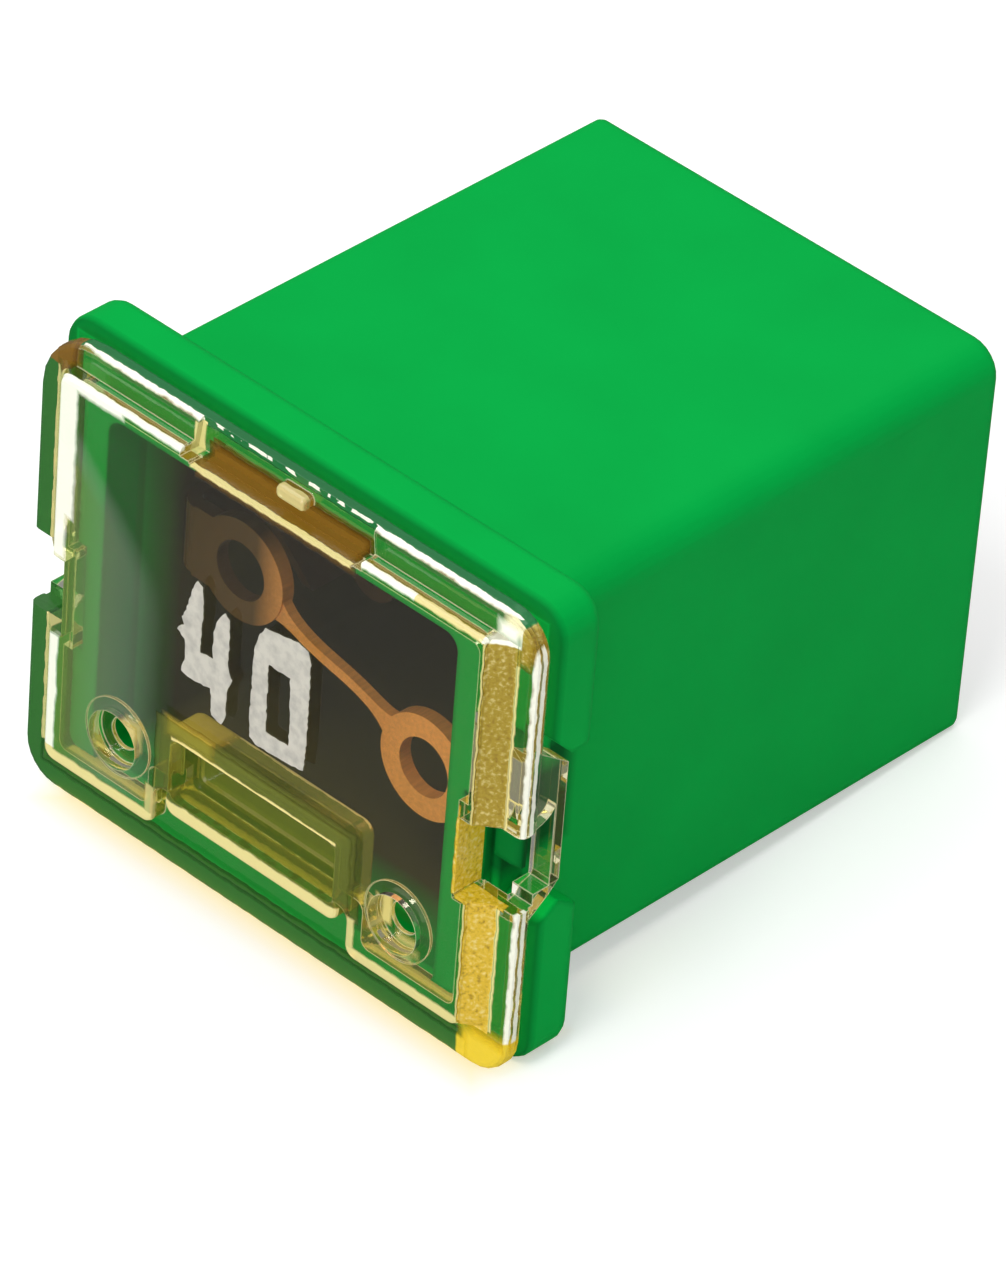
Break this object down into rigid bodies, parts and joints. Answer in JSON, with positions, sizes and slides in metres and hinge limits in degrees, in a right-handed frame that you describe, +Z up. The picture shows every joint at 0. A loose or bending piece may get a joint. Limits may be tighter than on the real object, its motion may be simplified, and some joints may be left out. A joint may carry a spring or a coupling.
{
  "type": "mini cartridge fuse",
  "caption": "Female-terminal cartridge fuse lying on its side: green moulded housing with a flange, clear amber latched cover, and a stamped copper element with a diagonal link.",
  "frame": {"origin": "bottom centre of the bounding box, with the fuse at rest on its flange and on the rear edge of its housing", "axes": "+Y from the window end towards the terminal end, falling by the rest tilt of 3.66 degrees, +X to the right as seen from the window end, +Z up"},
  "size_m": [0.0154, 0.0176, 0.0125],
  "materials": {
    "housing_plastic": "satin moulded",
    "cover_plastic": "clear amber, polished faces",
    "element_metal": "rolled copper alloy strip"
  },
  "bodies": {
    "root": {"housing": "housing_plastic", "cover": "cover_plastic", "fuse_element": "element_metal"}
  },
  "joints": []
}
